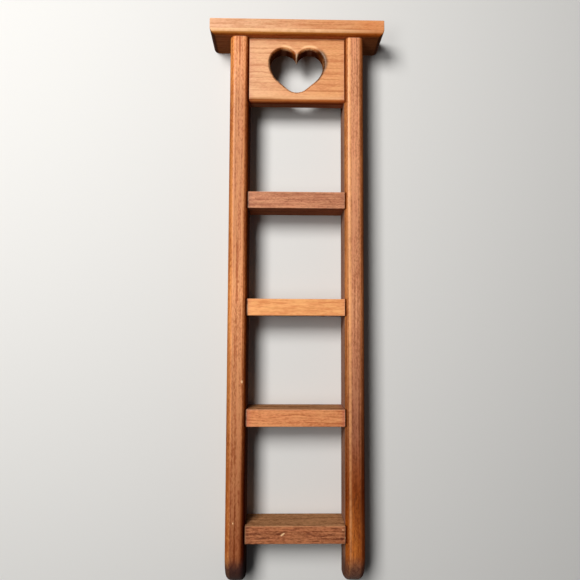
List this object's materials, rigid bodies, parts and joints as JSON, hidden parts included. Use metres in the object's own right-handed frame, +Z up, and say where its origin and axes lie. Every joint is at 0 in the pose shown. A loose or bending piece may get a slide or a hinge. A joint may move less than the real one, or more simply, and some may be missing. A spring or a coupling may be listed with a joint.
{
  "type": "ladder wall shelf",
  "caption": "Narrow wall-hung ladder shelf: round-edged rails, an overhanging cap, a panel with a heart cut-out and open boards between the rails.",
  "frame": {"origin": "middle of the cap's back edge face, on the wall", "axes": "+Z up along the rails, +Y back into the wall, +X to the right as seen from the room"},
  "size_m": [0.195, 0.046, 0.6215],
  "materials": {
    "rail_wood": "satin clear varnish on straight-grained red-brown wood",
    "cap_wood": "satin clear varnish, grain along the board",
    "panel_wood": "satin clear varnish, pale grain along the board",
    "shelf_wood": "satin clear varnish, grain along the board",
    "golden_shelf_wood": "satin clear varnish, bright golden board",
    "pored_shelf_wood": "satin clear varnish, darker board with short pores",
    "dowel_wood": "bare turned and fluted wood"
  },
  "bodies": {
    "root": {"left_rail": "rail_wood", "right_rail": "rail_wood", "top_cap": "cap_wood", "heart_panel": "panel_wood", "shelf_1": "shelf_wood", "shelf_2": "golden_shelf_wood", "shelf_3": "shelf_wood", "shelf_4": "pored_shelf_wood", "cap_dowel_left_front": "dowel_wood", "cap_dowel_left_back": "dowel_wood", "cap_dowel_right_front": "dowel_wood", "cap_dowel_right_back": "dowel_wood", "panel_dowel_left_upper": "dowel_wood", "panel_dowel_left_lower": "dowel_wood", "panel_dowel_right_upper": "dowel_wood", "panel_dowel_right_lower": "dowel_wood", "shelf_1_dowel_left_front": "dowel_wood", "shelf_1_dowel_left_back": "dowel_wood", "shelf_1_dowel_right_front": "dowel_wood", "shelf_1_dowel_right_back": "dowel_wood", "shelf_2_dowel_left_front": "dowel_wood", "shelf_2_dowel_left_back": "dowel_wood", "shelf_2_dowel_right_front": "dowel_wood", "shelf_2_dowel_right_back": "dowel_wood", "shelf_3_dowel_left_front": "dowel_wood", "shelf_3_dowel_left_back": "dowel_wood", "shelf_3_dowel_right_front": "dowel_wood", "shelf_3_dowel_right_back": "dowel_wood", "shelf_4_dowel_left_front": "dowel_wood", "shelf_4_dowel_left_back": "dowel_wood", "shelf_4_dowel_right_front": "dowel_wood", "shelf_4_dowel_right_back": "dowel_wood"}
  },
  "joints": []
}
